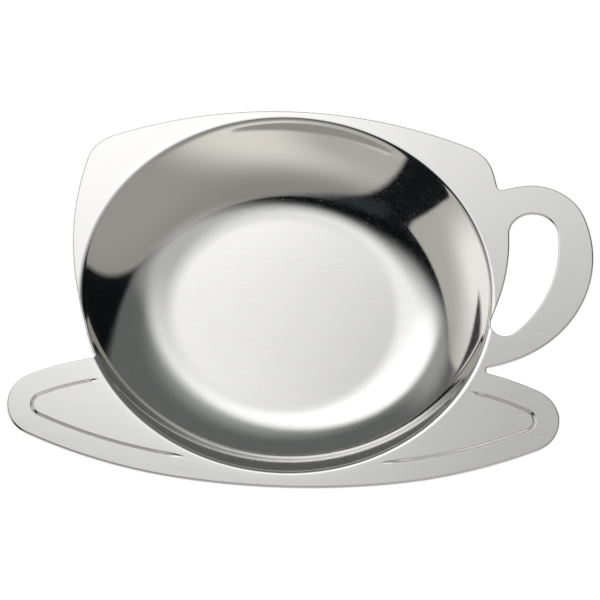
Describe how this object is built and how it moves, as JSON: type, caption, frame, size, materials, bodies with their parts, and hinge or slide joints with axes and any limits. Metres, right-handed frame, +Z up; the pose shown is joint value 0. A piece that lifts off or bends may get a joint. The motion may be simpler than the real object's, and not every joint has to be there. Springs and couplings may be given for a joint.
{
  "type": "tea bag rest",
  "caption": "Pressed sheet-steel tray in the outline of a cup on a saucer, with a round drawn bowl for a used tea bag, a flat brim, a looped handle and a pressed line in each saucer end.",
  "frame": {"origin": "middle of the bowl's flat underside, on the surface that the tray rests on", "axes": "+Z up, +X along the tray towards the handle, +Y from the saucer's side to the cup's mouth"},
  "size_m": [0.1133, 0.0855, 0.0088],
  "materials": {
    "stainless": "polished stainless sheet, near-mirror in the bowl, with very fine brushing, a few hairline scratches and tumbled, rounded edges"
  },
  "bodies": {
    "root": {"pressed_tray": "stainless"}
  },
  "joints": []
}
